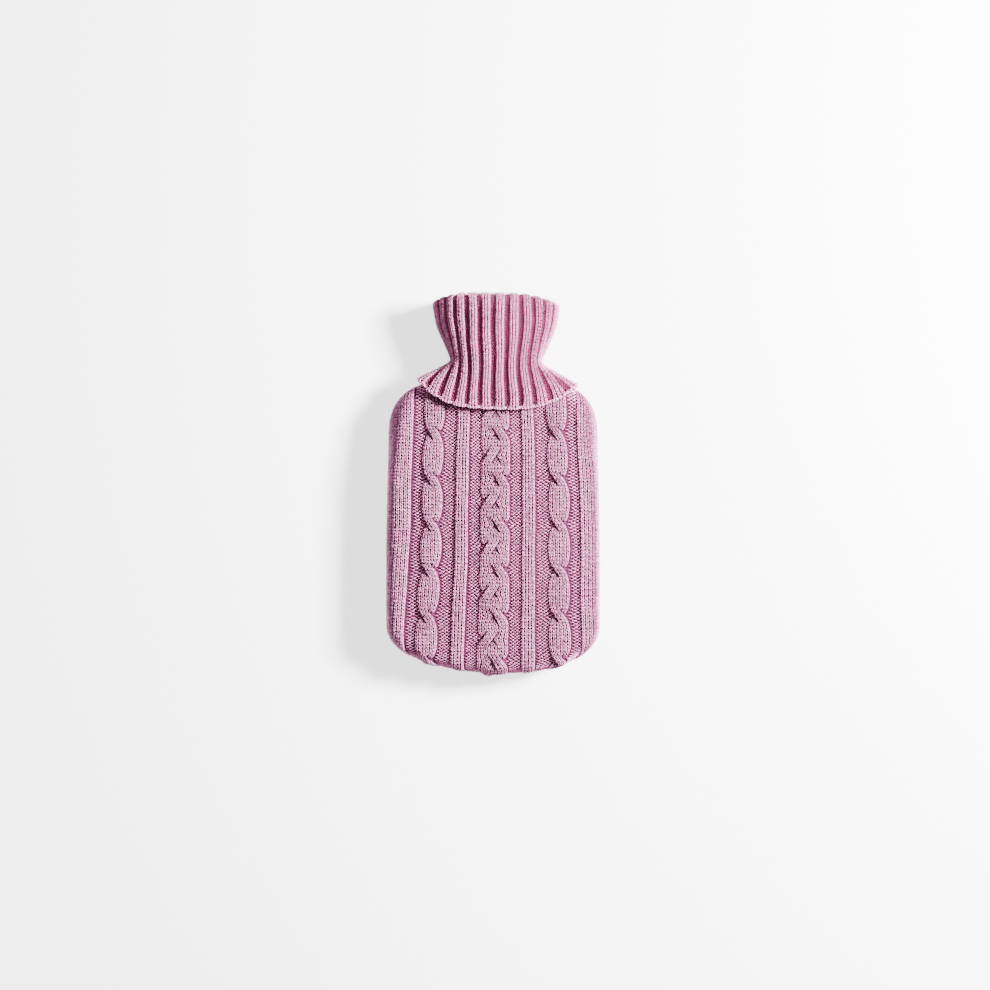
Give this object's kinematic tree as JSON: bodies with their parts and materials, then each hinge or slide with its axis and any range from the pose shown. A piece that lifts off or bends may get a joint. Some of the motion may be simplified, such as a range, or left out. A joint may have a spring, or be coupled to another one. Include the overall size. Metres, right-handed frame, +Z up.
{
  "type": "hot water bottle cover",
  "caption": "Cable-knit hot water bottle cover, hollow and open at the neck, with a ribbed collar folded down over its shoulders.",
  "frame": {"origin": "on the surface that the cover's back lies on, under the centre of its bounding box", "axes": "+X across the cover to the right of its front, +Y from its bottom edge to its mouth, +Z up, out of its cable-knit front"},
  "size_m": [0.2002, 0.3603, 0.0542],
  "materials": {
    "cable_knit": "matt dusty pink yarn",
    "plain_knit": "matt dusty pink yarn",
    "rib_knit": "matt dusty pink yarn, deeper in the grooves"
  },
  "bodies": {
    "root": {"front_panel": "cable_knit", "back_panel": "plain_knit", "roll_collar": "rib_knit"}
  },
  "joints": []
}
